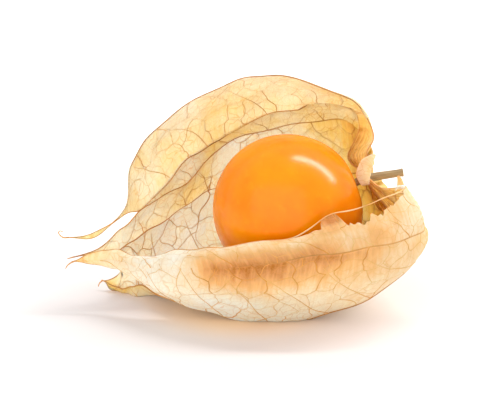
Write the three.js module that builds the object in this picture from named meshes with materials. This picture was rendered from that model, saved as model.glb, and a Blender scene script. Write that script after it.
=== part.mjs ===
// A Cape gooseberry lying on its side: an orange berry in a dry papery husk that is torn open at the
// front, on a short cut stalk. Millimetres, +Z up. X runs along the fruit, from the husk's tips at -X
// to the stalk at +X. -Y is the open front, and the husk lies on the plane z = 0.

import * as THREE from 'three';

// Driving dimensions
const BERRY_RADIUS = 9.5;
const BERRY_CENTRE = new THREE.Vector3(5.7, 0, 12.6);
const BERRY_SQUASH = 0.985;
const SCAR_RADIUS = 2.2;
const SCAR_DEPTH = 0.35;
const BERRY_RINGS = 24;
const BERRY_SIDES = 40;

const STALK_RADIUS = 0.55;
const STALK_GAP = 0.35;
const STALK_CORNERS = 12;
const STALK_GROOVE_SHARE = 0.86;
const STALK_STEPS = 10;
const RING_RADIUS = 1.25;
const RING_CENTRE = new THREE.Vector3(15.6, 1.6, 16.2);
const STALK_END = new THREE.Vector3(20.1, 1.8, 16.9);

const WALL = 0.45;
const WALL_AT_RING = 0.25;

// The middle of the whole fruit's box, which becomes the origin.
const MIDDLE = new THREE.Vector3(-0.025, 0.47, 0);

// The husk's ribs run from the ring round the stalk to the tips of its lobes. Each rib leaves the ring at
// its own angle, counted in degrees from the top towards the front, and then passes through its points:
// two past the stalk, three beside the berry, two over the narrowing end, and three out along the lobe.
// A rib that `follows` another one is the same seam as far as point `parts`, where the two lobes part.
const RIBS = {
  torn_front: {
    angle: 75,
    points: [[17.3, -2.6, 16.2], [19.9, -6, 17.4], [15.1, -9.8, 16.2], [6.6, -10.6, 12.7],
      [-2, -9.2, 10.9], [-7.1, -7.3, 9.9], [-11.6, -4.6, 7.9], [-15.6, -1.8, 7.9], [-18.9, -1.6, 7.4],
      [-21.4, -2, 6.8]],
  },
  front: {
    angle: 110,
    points: [[19, -2.6, 14.2], [22.4, -4.2, 11.3], [16.5, -11.4, 11.9], [8.5, -13.4, 11], [-1, -12, 9.3],
      [-8, -8.8, 7.8], [-12.5, -5.6, 7], [-16, -2.6, 6.8], [-18.9, -2, 6.5], [-21.3, -2, 6.4]],
  },
  keel: {
    angle: 150,
    points: [[18.8, -0.8, 11.6], [20.8, -2, 8], [15.5, -6, 3.5], [6.5, -5.4, -0.4], [-1.5, -5.6, 0.2],
      [-8, -5, 2], [-12.3, -4, 4.3], [-15.4, -2.5, 5.5], [-18.7, -1.9, 6], [-21.3, -2, 6]],
  },
  bottom_lobe_front: {
    follows: 'keel',
    parts: 6,
    points: [[-12.6, 0.6, 2.1], [-14.8, 2.6, 1.1], [-16.7, 4.1, 0.9], [-18.2, 4.9, 1.4]],
  },
  bottom: {
    angle: 205,
    points: [[17, 3.6, 12.2], [18.7, 6.5, 9.2], [14, 9, 2.8], [5.9, 8.5, -0.3], [-2, 7.6, -0.3],
      [-8, 5.4, -0.3], [-12.6, 2.8, -0.1], [-15, 4.3, -0.4], [-17, 4.9, 0.1], [-18.2, 5.2, 1.2]],
  },
  bottom_lobe_back: {
    follows: 'low_back',
    parts: 8,
    points: [[-15.7, 4.4, 2.6], [-18.2, 5.4, 1.2]],
  },
  low_back: {
    angle: 250,
    points: [[16.1, 5.6, 15], [16.4, 9.5, 14.6], [12.9, 13.2, 13], [5, 14, 12], [-3.3, 12, 11.5],
      [-8.1, 9.2, 9.6], [-12.5, 5, 7.8], [-15.5, 2, 6.7], [-18.5, 0.4, 6.7], [-21.7, -0.5, 6.1]],
  },
  high_back: {
    angle: 295,
    points: [[15.4, 6.4, 17.1], [16.3, 8.8, 18.8], [12.6, 12, 20.8], [5, 13.5, 19.6], [-2.5, 12.6, 17.2],
      [-7.3, 9.2, 13.3], [-12.1, 5, 11.5], [-15.4, 2.6, 9.2], [-18.2, 0.6, 7.4], [-21.7, -0.5, 6.6]],
  },
  roof: {
    angle: 322,
    points: [[13.4, 5.4, 17.8], [14.8, 5.8, 21.8], [12.8, 8.5, 23.9], [5, 10.3, 22.9], [-3.3, 9.4, 19.4],
      [-7.8, 7, 16.9], [-12.1, 3.8, 12.2], [-15.2, 1.1, 11.3], [-18.6, -0.2, 9], [-22.5, -0.8, 9]],
  },
  torn_top: {
    angle: 345,
    points: [[15.5, 2, 19.4], [16.3, 2.4, 21.8], [13.5, 3.4, 26.1], [5.9, 4, 28.6], [-2.5, 4, 27.4],
      [-10.5, 3, 22.4], [-13.9, 1.8, 17.9], [-14.7, 0.8, 12.4], [-18.6, -0.2, 9.6], [-22.5, -0.8, 9.5]],
  },
};

// Each panel spans two ribs. It bulges outwards by `bulge` at its middle, and it ends at the rib point
// numbered `last`, so the lobes are free of each other beyond that.
const PANELS = [
  { from: 'torn_front', to: 'front', columns: 4, bulge: 0.9, last: 10 },
  { from: 'front', to: 'keel', columns: 5, bulge: 1.8, last: 10 },
  { from: 'bottom_lobe_front', to: 'bottom', columns: 5, bulge: 0, last: 10 },
  { from: 'bottom', to: 'bottom_lobe_back', columns: 5, bulge: 1.8, last: 10 },
  { from: 'low_back', to: 'high_back', columns: 4, bulge: 0.6, last: 10 },
  { from: 'high_back', to: 'roof', columns: 3, bulge: 0.4, last: 7 },
  { from: 'roof', to: 'torn_top', columns: 3, bulge: 0.7, last: 10 },
];
const STEPS_PER_POINT = 4;

const stalkAxis = RING_CENTRE.clone().sub(BERRY_CENTRE).normalize();

// The point of the ring round the stalk at an angle from the top towards the front.
function ringPoint(degrees) {
  const front = new THREE.Vector3(0, -1, 0);
  const top = new THREE.Vector3().crossVectors(front, stalkAxis).normalize();
  const side = new THREE.Vector3().crossVectors(stalkAxis, top).normalize();
  const angle = THREE.MathUtils.degToRad(degrees);
  return RING_CENTRE.clone()
    .addScaledVector(top, RING_RADIUS * Math.cos(angle))
    .addScaledVector(side, RING_RADIUS * Math.sin(angle));
}

// The rib's curve, which starts with the points of the rib that it follows.
function ribCurve(rib) {
  const seam = rib.follows ? RIBS[rib.follows] : rib;
  const own = rib.follows ? [...seam.points.slice(0, rib.parts), ...rib.points] : rib.points;
  const points = own.map((point) => new THREE.Vector3(...point));
  return new THREE.CatmullRomCurve3([ringPoint(seam.angle), ...points], false, 'catmullrom', 0.5);
}

// The rib whose line this rib runs on at a place `along` it, counted in rib points from the ring.
function seamName(name, along) {
  return RIBS[name].follows && along <= RIBS[name].parts ? RIBS[name].follows : name;
}

// A point of the panel at a place `along` its ribs, and `across` from 0 at one rib to 1 at the other.
function panelPoint(curves, panel, along, across) {
  const from = curves[seamName(panel.from, along)];
  const to = curves[seamName(panel.to, along)];
  const spans = from.points.length - 1;
  const a = from.getPoint(along / spans);
  const b = to.getPoint(along / spans);
  const forward = from.getTangent(along / spans).add(to.getTangent(along / spans));
  const outward = new THREE.Vector3().crossVectors(forward, b.clone().sub(a)).normalize();
  const fade = Math.sin(Math.PI * Math.min(1, along / (spans - 1)));
  const point = a.clone().lerp(b, across);
  point.addScaledVector(outward, panel.bulge * fade * 4 * across * (1 - across));
  point.z = Math.max(point.z, 0);
  return point;
}

// The husk's outer face: all the panels in one sheet, where neighbours share the points of their rib.
function huskSheet() {
  const curves = {};
  for (const [name, rib] of Object.entries(RIBS)) {
    curves[name] = ribCurve(rib);
  }
  const points = [];
  const along = [];
  const faces = [];
  const ribPoints = new Map();
  const addPoint = (panel, place, across) => {
    const rib = { 0: panel.from, 1: panel.to }[across];
    const key = rib && `${seamName(rib, place)} ${place}`;
    if (key && ribPoints.has(key)) {
      return ribPoints.get(key);
    }
    points.push(panelPoint(curves, panel, place, across));
    along.push(place);
    if (key) {
      ribPoints.set(key, points.length - 1);
    }
    return points.length - 1;
  };
  for (const panel of PANELS) {
    const rows = [];
    for (let i = 0; i <= panel.last * STEPS_PER_POINT; i += 1) {
      const row = [];
      for (let j = 0; j <= panel.columns; j += 1) {
        row.push(addPoint(panel, i / STEPS_PER_POINT, j / panel.columns));
      }
      rows.push(row);
    }
    for (let i = 0; i + 1 < rows.length; i += 1) {
      for (let j = 0; j < panel.columns; j += 1) {
        const corners = [rows[i][j], rows[i][j + 1], rows[i + 1][j + 1], rows[i + 1][j]];
        faces.push([corners[0], corners[2], corners[1]]);
        faces.push([corners[0], corners[3], corners[2]]);
      }
    }
  }
  return { points, along, faces };
}

function vertexNormals(points, faces) {
  const normals = points.map(() => new THREE.Vector3());
  for (const [a, b, c] of faces) {
    const ab = points[b].clone().sub(points[a]);
    const ac = points[c].clone().sub(points[a]);
    const normal = ab.cross(ac);
    for (const corner of [a, b, c]) {
      normals[corner].add(normal);
    }
  }
  return normals.map((normal) => normal.normalize());
}

// Gives the sheet its wall: the outer face, an inner face, and a strip along every free edge.
function thicken({ points, along, faces }) {
  const normals = vertexNormals(points, faces);
  const inner = points.map((point, k) => {
    const wall = THREE.MathUtils.lerp(WALL_AT_RING, WALL, Math.min(1, along[k]));
    return point.clone().addScaledVector(normals[k], -wall);
  });
  const shift = points.length;
  const solid = [];
  const edges = new Set(faces.flatMap(([a, b, c]) => [`${a},${b}`, `${b},${c}`, `${c},${a}`]));
  for (const [a, b, c] of faces) {
    solid.push(a, b, c, a + shift, c + shift, b + shift);
    for (const [p, q] of [[a, b], [b, c], [c, a]]) {
      if (!edges.has(`${q},${p}`)) {
        solid.push(q, p, p + shift, q, p + shift, q + shift);
      }
    }
  }
  const geometry = new THREE.BufferGeometry();
  const positions = [...points, ...inner].flatMap((point) => point.toArray());
  geometry.setAttribute('position', new THREE.Float32BufferAttribute(positions, 3));
  geometry.setIndex(solid);
  return geometry;
}

// The berry: a nearly round fruit, turned about its own axis, with a shallow dip where the stalk meets it.
function berryGeometry() {
  const profile = [];
  for (let i = 0; i <= BERRY_RINGS; i += 1) {
    const angle = (Math.PI * i) / BERRY_RINGS;
    const radius = i === 0 || i === BERRY_RINGS ? 0 : BERRY_RADIUS * Math.sin(angle);
    const dip = SCAR_DEPTH * Math.exp(-((radius / SCAR_RADIUS) ** 2)) * (i > BERRY_RINGS / 2 ? 1 : 0);
    profile.push(new THREE.Vector2(radius, -BERRY_RADIUS * BERRY_SQUASH * Math.cos(angle) - dip));
  }
  return new THREE.LatheGeometry(profile, BERRY_SIDES);
}

// The stalk: a ridged round section drawn along a gentle bend, from just off the berry to the cut end.
function stalkGeometry() {
  const start = BERRY_CENTRE.clone().addScaledVector(stalkAxis, BERRY_RADIUS + STALK_GAP);
  const path = new THREE.CatmullRomCurve3([start, RING_CENTRE.clone(), STALK_END.clone()]);
  const section = new THREE.Shape();
  for (let i = 0; i < STALK_CORNERS; i += 1) {
    const radius = STALK_RADIUS * (i % 2 === 0 ? 1 : STALK_GROOVE_SHARE);
    const angle = (2 * Math.PI * i) / STALK_CORNERS;
    const corner = [radius * Math.cos(angle), radius * Math.sin(angle)];
    if (i === 0) {
      section.moveTo(...corner);
    } else {
      section.lineTo(...corner);
    }
  }
  section.closePath();
  return new THREE.ExtrudeGeometry(section, { steps: STALK_STEPS, extrudePath: path, curveSegments: 1 });
}

function namedMesh(name, geometry, look) {
  const mesh = new THREE.Mesh(geometry, new THREE.MeshStandardMaterial(look));
  mesh.name = name;
  return mesh;
}

const berry = namedMesh('berry', berryGeometry(), { color: 0xff9c10, roughness: 0.28, metalness: 0 });
berry.quaternion.setFromUnitVectors(new THREE.Vector3(0, 1, 0), stalkAxis);
berry.position.copy(BERRY_CENTRE);

const husk = namedMesh('husk', thicken(huskSheet()), {
  color: 0xf6d9a0, roughness: 0.7, metalness: 0, side: THREE.DoubleSide,
});

const stem = namedMesh('stem', stalkGeometry(), { color: 0x8c7a4e, roughness: 0.8, metalness: 0 });

const fruit = new THREE.Group();
fruit.add(berry, husk, stem);
fruit.position.copy(MIDDLE).negate();

export default fruit;
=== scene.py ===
# A Cape gooseberry lying on its side: a waxy orange berry in a dry, papery husk that is torn open at the
# front, on a short cut stalk. X runs from the husk's tips at -X to the stalk at +X, and -Y is the open front.

import math
import random

import bpy
import numpy as np
from mathutils import Matrix, Vector
from mathutils.geometry import delaunay_2d_cdt


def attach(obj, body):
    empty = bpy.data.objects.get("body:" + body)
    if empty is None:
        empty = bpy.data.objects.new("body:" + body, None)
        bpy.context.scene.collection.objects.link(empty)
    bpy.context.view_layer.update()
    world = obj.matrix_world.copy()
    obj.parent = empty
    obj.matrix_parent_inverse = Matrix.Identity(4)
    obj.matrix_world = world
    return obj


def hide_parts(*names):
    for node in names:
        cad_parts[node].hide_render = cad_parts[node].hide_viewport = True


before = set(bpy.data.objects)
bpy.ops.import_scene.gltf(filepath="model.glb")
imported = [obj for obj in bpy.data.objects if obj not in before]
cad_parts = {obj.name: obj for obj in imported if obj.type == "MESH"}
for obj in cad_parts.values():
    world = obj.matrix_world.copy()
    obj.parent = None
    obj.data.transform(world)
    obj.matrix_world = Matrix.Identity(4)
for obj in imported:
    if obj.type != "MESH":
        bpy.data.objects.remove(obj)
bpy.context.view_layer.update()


# ---- Berry ----
# The ripe fruit: a smooth, thin, waxy skin drawn tight over soft flesh, so it is nearly round and light sinks
# a little way into it. It hangs in the husk from the stalk, at a small dip.

MM = 0.001
BERRY_CENTRE = np.array([5.725, -0.47, 12.6]) * MM
BERRY_RADIUS = 9.5 * MM
STALK_RING = np.array([15.625, 1.13, 16.2]) * MM
stalk_axis = (STALK_RING - BERRY_CENTRE) / np.linalg.norm(STALK_RING - BERRY_CENTRE)


def linear(hex_colour):
    """An sRGB hex colour as the linear colour that a shader socket takes."""
    channels = [int(hex_colour[i:i + 2], 16) / 255 for i in (1, 3, 5)]
    return (*[c / 12.92 if c <= 0.04045 else ((c + 0.055) / 1.055) ** 2.4 for c in channels], 1.0)


def add(tree, kind, inputs=None, **settings):
    """Adds a node: settings are its properties, and inputs are values, or sockets or nodes to link from."""
    new = tree.nodes.new(kind)
    for name, value in settings.items():
        setattr(new, name, value)
    for socket, value in (inputs or {}).items():
        if isinstance(value, bpy.types.Node):
            value = value.outputs[0]
        if isinstance(value, bpy.types.NodeSocket):
            tree.links.new(value, new.inputs[socket])
        else:
            new.inputs[socket].default_value = value
    return new


def maths(tree, operation, first, second=0.0, **settings):
    """The result of an operation on two numbers."""
    both = {0: first, 1: second}
    return add(tree, "ShaderNodeMath", both, operation=operation, **settings).outputs["Value"]


def vectors(tree, operation, first, second):
    """The vector that an operation on two vectors gives."""
    both = {0: first, 1: second}
    return add(tree, "ShaderNodeVectorMath", both, operation=operation).outputs["Vector"]


def scaled(tree, vector, factor):
    """The vector made longer by a factor."""
    both = {0: vector, "Scale": factor}
    return add(tree, "ShaderNodeVectorMath", both, operation="SCALE").outputs["Vector"]


def spread(tree, value, old, new=(0.0, 1.0), **settings):
    """A value taken from its old (low, high) range to a new one, and held inside that."""
    return add(tree, "ShaderNodeMapRange", {
        "Value": value, "From Min": old[0], "From Max": old[1], "To Min": new[0], "To Max": new[1]},
        **settings).outputs["Result"]


def noise(tree, place, size, detail, roughness=0.5):
    """Cloudy noise from 0 to 1 whose features are `size` across, in the unit of the place."""
    return add(tree, "ShaderNodeTexNoise", {
        "Vector": place, "Scale": 1 / size, "Detail": detail, "Roughness": roughness}).outputs["Fac"]


def blend(tree, share, first, second):
    """A colour between two others."""
    return add(tree, "ShaderNodeMix", {0: share, 6: first, 7: second}, data_type="RGBA").outputs[2]


def new_rule(name, sockets):
    """Starts a geometry tree with named inputs, given as {name: socket type}."""
    tree = bpy.data.node_groups.new(name, "GeometryNodeTree")
    for label, kind in sockets.items():
        tree.interface.new_socket(name=label, in_out="INPUT", socket_type=f"NodeSocket{kind}")
    tree.interface.new_socket(name="Geometry", in_out="OUTPUT", socket_type="NodeSocketGeometry")
    return tree, tree.nodes.new("NodeGroupInput").outputs


def end_rule(tree, geometry, material, smooth=True):
    """Ends a geometry tree with real geometry, its shading and its material."""
    if smooth:
        geometry = add(tree, "GeometryNodeSetShadeSmooth", {"Geometry": geometry})
    plain = add(tree, "GeometryNodeRealizeInstances", {"Geometry": geometry})
    covered = add(tree, "GeometryNodeSetMaterial", {"Geometry": plain, "Material": material})
    add(tree, "NodeGroupOutput", {"Geometry": covered})


def grow(name, tree, values, start=None):
    """Runs a tree on a mesh, and leaves the result as a plain mesh in a new object."""
    piece = bpy.data.objects.new(name, start or bpy.data.meshes.new(name))
    bpy.context.scene.collection.objects.link(piece)
    modifier = piece.modifiers.new(name, "NODES")
    modifier.node_group = tree
    sockets = {s.name: s.identifier for s in tree.interface.items_tree if s.in_out == "INPUT"}
    for label, value in values.items():
        modifier[sockets[label]] = value
    depsgraph = bpy.context.evaluated_depsgraph_get()
    result = bpy.data.meshes.new_from_object(
        piece.evaluated_get(depsgraph), preserve_all_data_layers=True, depsgraph=depsgraph)
    piece.modifiers.remove(modifier)
    piece.data = result
    return piece


def new_material(name):
    """A material with its default nodes: returns it, its node tree and its shader."""
    material = bpy.data.materials.new(name)
    material.use_nodes = True
    return material, material.node_tree, material.node_tree.nodes["Principled BSDF"]


def roughen(tree, shader, height, strength, depth):
    """Bumps a shader's surface by a height, which stands for a depth in metres."""
    bump = add(tree, "ShaderNodeBump", {"Height": height, "Strength": strength, "Distance": depth})
    tree.links.new(bump.outputs["Normal"], shader.inputs["Normal"])


# Cuticle wax over carotene-rich flesh: a satin gloss with soft-edged highlights, an even saturated orange
# with slightly paler flecks about 1 mm across, and a warm bleed of light under the skin.
CLOUD_SIZE, CLOUD_EDGES = 5.882 * MM, (0.35, 0.68)
FLECK_SIZE, FLECK_EDGES, FLECK_SHARES = 0.909 * MM, (0.56, 0.8), (0, 0.3)
# Most of what a cloudy noise gives lies between these.
CLOUDY = (0.3, 0.7)
berry_skin, tree, shader = new_material("waxy_berry_skin")
place = add(tree, "ShaderNodeTexCoord").outputs["Object"]
clouds = noise(tree, place, CLOUD_SIZE, 3, 0.55)
flecks = noise(tree, place, FLECK_SIZE, 2)
flesh = blend(tree, spread(tree, clouds, CLOUD_EDGES), linear("#F08000"), linear("#F79200"))
flecked = blend(tree, spread(tree, flecks, FLECK_EDGES, FLECK_SHARES), flesh, linear("#FCA414"))
tree.links.new(flecked, shader.inputs["Base Color"])
tree.links.new(spread(tree, clouds, CLOUDY, (0.17, 0.24)), shader.inputs["Roughness"])
roughen(tree, shader, flecks, 0.12, 0.1 * MM)
shader.inputs["IOR"].default_value = 1.4
shader.inputs["Specular IOR Level"].default_value = 0.3
shader.inputs["Subsurface Weight"].default_value = 0.35
shader.inputs["Subsurface Radius"].default_value = (1.0, 0.35, 0.08)
shader.inputs["Subsurface Scale"].default_value = 2 * MM

# The fruit's own form: a ball, pressed a little along its axis, with soft swells, and a dip at the stalk.
SWELL_SIZE, SWELL_MIDDLE = 13.333 * MM, 0.62
tree, given = new_rule("berry_form", {
    "Radius": "Float", "Length Share": "Float", "Dip Radius": "Float", "Dip Depth": "Float",
    "Swell": "Float", "Turn": "Rotation", "Centre": "Vector", "Skin": "Material"})
ball = add(tree, "GeometryNodeMeshUVSphere", {"Segments": 144, "Rings": 96, "Radius": given["Radius"]})
here = add(tree, "GeometryNodeInputPosition")
x, y, z = add(tree, "ShaderNodeSeparateXYZ", {"Vector": here}).outputs
level = add(tree, "ShaderNodeCombineXYZ", {"X": x, "Y": y})
from_axis = add(tree, "ShaderNodeVectorMath", {0: level}, operation="LENGTH").outputs["Value"]
share = maths(tree, "DIVIDE", from_axis, given["Dip Radius"])
fall = maths(tree, "MULTIPLY", maths(tree, "MULTIPLY", share, share), -1.0)
bell = maths(tree, "EXPONENT", fall)
dip = maths(tree, "MULTIPLY", bell, maths(tree, "GREATER_THAN", z, 0.0))
depth = maths(tree, "MULTIPLY", dip, given["Dip Depth"])
height = maths(tree, "SUBTRACT", maths(tree, "MULTIPLY", z, given["Length Share"]), depth)
shaped = add(tree, "ShaderNodeCombineXYZ", {"X": x, "Y": y, "Z": height})
centred = maths(tree, "SUBTRACT", noise(tree, here, SWELL_SIZE, 1), SWELL_MIDDLE)
normal = add(tree, "GeometryNodeInputNormal")
outward = scaled(tree, normal, maths(tree, "MULTIPLY", centred, given["Swell"]))
formed = add(tree, "GeometryNodeSetPosition", {"Geometry": ball, "Position": shaped, "Offset": outward})
hung = add(tree, "GeometryNodeTransform", {
    "Geometry": formed, "Translation": given["Centre"], "Rotation": given["Turn"]})
end_rule(tree, hung, given["Skin"])

berry = grow("ripe_berry", tree, {
    "Radius": BERRY_RADIUS, "Length Share": 0.985, "Dip Radius": 2.2 * MM, "Dip Depth": 0.35 * MM,
    "Swell": 0.25 * MM, "Turn": Vector((0, 0, 1)).rotation_difference(Vector(stalk_axis)).to_euler(),
    "Centre": Vector(BERRY_CENTRE), "Skin": berry_skin})
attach(berry, "root")
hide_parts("berry")


# ---- Husk ----
# The dried calyx: five sepals grown together into one papery bladder, now torn open from the ring at the
# stalk to the tips. Ribs run its whole length, and the thin paper between them bulges, puckers and crinkles.

RING_RADIUS = 0.85 * MM
SHIFT = np.array([0.025, -0.47, 0.0])

# Each rib leaves the ring at its own angle, in degrees from the top towards the front, and then passes
# through its points, in millimetres before SHIFT: two past the stalk, three beside the berry, two over the
# narrowing end and three out along the lobe. A rib that follows another is one seam with it up to `parts`.
RIBS = {
    "torn_front": {"angle": 75, "points": [
        [17.3, -2.6, 16.2], [19.9, -6, 17.4], [15.1, -9.8, 16.2], [6.6, -10.6, 12.7], [-2, -9.2, 10.9],
        [-7.1, -7.3, 9.9], [-11.6, -4.6, 7.9], [-15.6, -1.8, 7.9], [-18.9, -1.6, 7.4], [-21.4, -2, 6.6]]},
    "front": {"angle": 110, "points": [
        [19, -2.6, 14.2], [22.4, -4.2, 11.3], [16.5, -11.4, 11.9], [8.5, -13.4, 11], [-1, -12, 9.3],
        [-8, -8.8, 7.8], [-12.5, -5.6, 7], [-16, -2.6, 6.8], [-18.9, -2, 6.5], [-21.3, -2, 6.4]]},
    "keel": {"angle": 150, "points": [
        [19.3, -1, 11.5], [22, -2.7, 8.1], [15.9, -6.1, 3.2], [6.5, -5.4, -0.4], [-1.5, -5.6, 0.2],
        [-8, -5, 2], [-12.3, -4, 4.3], [-15.4, -2.5, 5.5], [-18.7, -1.9, 6], [-21.3, -2, 6.2]]},
    "bottom_lobe_front": {"follows": "keel", "parts": 6, "points": [
        [-12.6, 0.6, 2.1], [-14.8, 2.6, 1.1], [-16.7, 4.1, 0.9], [-18.2, 4.9, 1.4]]},
    "bottom": {"angle": 205, "points": [
        [17, 3.6, 12.2], [18.7, 6.5, 9.2], [14, 9, 2.8], [5.9, 8.5, -0.3], [-2, 7.6, -0.3],
        [-8, 5.4, -0.3], [-12.6, 2.8, -0.1], [-15, 4.3, -0.4], [-17, 4.9, 0.1], [-18.2, 5.2, 1.2]]},
    "bottom_lobe_back": {"follows": "low_back", "parts": 8, "points": [
        [-15.7, 4.4, 2.6], [-18.2, 5.4, 1.2]]},
    "low_back": {"angle": 250, "points": [
        [16.1, 5.6, 15], [16.4, 9.5, 14.6], [12.9, 13.2, 13], [5, 14, 12], [-3.3, 12, 11.5],
        [-8.1, 9.2, 9.6], [-12.5, 5, 7.8], [-15.5, 2, 6.7], [-18.5, 0.4, 6.7], [-21.7, -0.5, 6.3]]},
    "high_back": {"angle": 295, "points": [
        [15.4, 6.4, 17.1], [16.3, 8.8, 18.8], [12.6, 12, 20.8], [5, 13.5, 19.6], [-2.5, 12.6, 17.2],
        [-7.3, 9.2, 13.3], [-12.1, 5, 11.5], [-15.4, 2.6, 9.2], [-18.2, 0.6, 7.2], [-21.7, -0.5, 6.4]]},
    "roof": {"angle": 322, "points": [
        [13.4, 5.4, 17.8], [14.8, 5.8, 21.8], [12.8, 8.5, 23.9], [5, 10.3, 22.9], [-3.3, 9.4, 19.4],
        [-7.8, 7, 16.9], [-12.1, 3.8, 12.2], [-15.2, 1.1, 11.3], [-18.6, -0.2, 9], [-21.9, -0.8, 9.1]]},
    "torn_top": {"angle": 345, "points": [
        [15.5, 2, 19.4], [16.3, 2.4, 21.8], [13.5, 3.4, 25.9], [4.2, 4, 28.8], [-2.8, 4, 27.4],
        [-10.5, 3, 22.4], [-13.9, 1.8, 17.9], [-14.7, 0.8, 12.4], [-18.6, -0.2, 9.6], [-21.9, -0.8, 9.2]]},
}
LOBES = [("torn_front", "front", "keel"), ("bottom_lobe_front", "bottom", "bottom_lobe_back"),
         ("low_back", "high_back"), ("roof", "torn_top")]

# Each panel of paper spans two ribs, bulges outwards by `bulge` mm at its middle, and ends at the rib point
# numbered `last`, so the lobes are free of each other beyond that. `pleats` is the number of folds that
# fan out from the ring. The last list is how deep the paper's colour is, as rows of the place along the
# panel, counted in rib points, and its depth beside the first rib, at the middle and beside the second rib,
# or one depth for the whole row. It is the paper's own deeper colour towards the ring and the tips, and
# painted shade in places: a brown band along both sides of the front rib, where the berry's shadow falls
# through the paper, a shaded band between the high back and roof ribs, a strip in the berry's shadow on the
# back wall, and the dark hollow among the folds by the ring.
PANELS = [
    {"from": "torn_front", "to": "front", "columns": 48, "bulge": 0.9, "last": 10, "pleats": 8, "amber": [
        (0, 0.6), (1, 0.42), (1.9, 0.42, 0.42, 0.45), (2.6, 0.5), (3.3, 0.6, 0.52, 0.52),
        (3.5, 0.75, 0.5, 0.55), (4.2, 0.45, 0.5, 0.85), (5.3, 0.4, 0.62, 0.95), (5.65, 0.3, 0.35, 0.45),
        (6, 0.14, 0.12, 0.15), (6.6, 0.15, 0.15, 0.18), (8, 0.35), (9, 0.6, 0.55, 0.6), (10, 0.8)]},
    {"from": "front", "to": "keel", "columns": 36, "bulge": 1.3, "last": 10, "pleats": 5, "amber": [
        (0, 0.6), (1.2, 0.48), (2, 0.5, 0.48, 0.45), (2.6, 0.5, 0.45, 0.4), (3.4, 0.65, 0.42, 0.25),
        (3.9, 0.9, 0.32, 0.1), (4.4, 0.95, 0.24, 0.06), (4.9, 1, 0.14, 0.04), (5.3, 0.95, 0.08, 0.04),
        (5.65, 0.45, 0.06, 0.06), (6, 0.15, 0.1, 0.15), (6.6, 0.15, 0.13, 0.18), (8.2, 0.38, 0.35, 0.35),
        (9, 0.6, 0.55, 0.6), (10, 0.8)]},
    {"from": "bottom_lobe_front", "to": "bottom", "columns": 26, "bulge": 0, "last": 10,
     "pleats": 4, "amber": [
        (0, 0.95), (1.2, 0.7), (2.2, 0.55, 0.55, 0.5), (3, 0.25, 0.2, 0.2), (6, 0.2, 0.15, 0.15),
        (8, 0.6, 0.5, 0.45), (10, 0.65)]},
    {"from": "bottom", "to": "bottom_lobe_back", "columns": 30, "bulge": 1.8, "last": 10,
     "pleats": 4, "amber": [
        (0, 0.95), (1.2, 0.8), (2.3, 0.7, 0.75, 0.75), (3, 0.25, 0.3, 0.35), (6, 0.05, 0.03, 0.03),
        (8, 0.2, 0.15, 0.15), (10, 0.7, 0.6, 0.5)]},
    {"from": "low_back", "to": "high_back", "columns": 26, "bulge": 0.6, "last": 10, "pleats": 3, "amber": [
        (0, 1), (1.8, 0.75), (2.4, 0.75, 0.7, 0.7), (2.9, 0.45, 0.6, 0.68), (3.4, 0.12, 0.3, 0.45),
        (3.9, 0.08, 0.12, 0.25), (4.9, 0.08, 0.08, 0.15), (5.3, 0.35, 0.4, 0.4), (6.3, 0.35, 0.3, 0.25),
        (7, 0.25, 0.15, 0.15), (10, 0.4, 0.3, 0.4)]},
    {"from": "high_back", "to": "roof", "columns": 20, "bulge": 0.4, "last": 7, "pleats": 2, "amber": [
        (0, 1), (0.7, 0.8, 0.8, 1), (1.9, 0.7, 0.65, 1), (2.6, 0.5, 0.45, 0.45), (3.2, 0.35),
        (4, 0.3, 0.3, 0.35), (4.6, 0.5, 0.45, 0.45), (5.3, 0.5, 0.45, 0.4), (5.7, 0.25, 0.15, 0.15),
        (6.2, 0.25, 0.15, 0.15), (7, 0.35, 0.3, 0.3)]},
    {"from": "roof", "to": "torn_top", "columns": 36, "bulge": 0.7, "last": 10, "pleats": 6, "amber": [
        (0, 0.9), (0.7, 0.85, 0.55, 0.45), (1.9, 0.85, 0.5, 0.4), (2.5, 0.46, 0.42, 0.35),
        (4, 0.36, 0.3, 0.2), (6, 0.4, 0.32, 0.24), (7.3, 0.38, 0.28, 0.28), (8.3, 0.32), (10, 0.5)]},
]
# The rows of every panel: counts of rows over stretches counted in rib points, closest beside the tear.
ROW_COUNTS = [(0, 2, 30), (2, 4.5, 90), (4.5, 5, 8), (5, 10, 75)]
ROW_PLACES = np.append(
    np.concatenate([np.linspace(low, high, count, endpoint=False) for low, high, count in ROW_COUNTS]), 10)

# The ribs run a little unevenly, except in the ring and in the tips, where the lobes draw in. Places and
# stretches here are counted in rib points too.
RIB_WOBBLE = 0.09 * MM
WOBBLE_RATES = (3.1, 7.3)
WOBBLE_TURN = 1.7
WOBBLE_RISES, WOBBLE_FADES = (1, 3), (7.5, 9.2)
TIP_STARTS = 9.1
TIP_WIDTH_SHARE = 0.1

# The folds that fan out from the ring, the stretch where the paper hangs slack enough to crinkle, and where
# the front lobe turns from golden to brown.
PLEAT_ROOM = 1.0 * MM
PLEATS_RISE, PLEATS_FADE = (0, 0.6), (0.9, 2.4)
SLACK_RISES, SLACK_FADES = (0.2, 1.5), (8, 9.5)
BROWNER_FROM = (1.0, 2.6)


def unit(lines):
    """The same directions, each of length 1."""
    return lines / np.maximum(np.linalg.norm(lines, axis=-1, keepdims=True), 1e-12)


def smoothstep(low, high, value):
    """From 0 at low to 1 at high, soft at both ends."""
    t = np.clip((value - low) / (high - low), 0, 1)
    return t * t * (3 - 2 * t)


def steps(places, pairs):
    """A value that runs straight between (place, value) pairs."""
    return np.interp(places, *zip(*pairs))


def softened(values, reach):
    """The values with every corner rounded over `reach` rows to each side."""
    window = np.hanning(2 * reach + 3)[1:-1]
    return np.convolve(np.pad(values, reach, mode="edge"), window / window.sum(), "valid")


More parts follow.
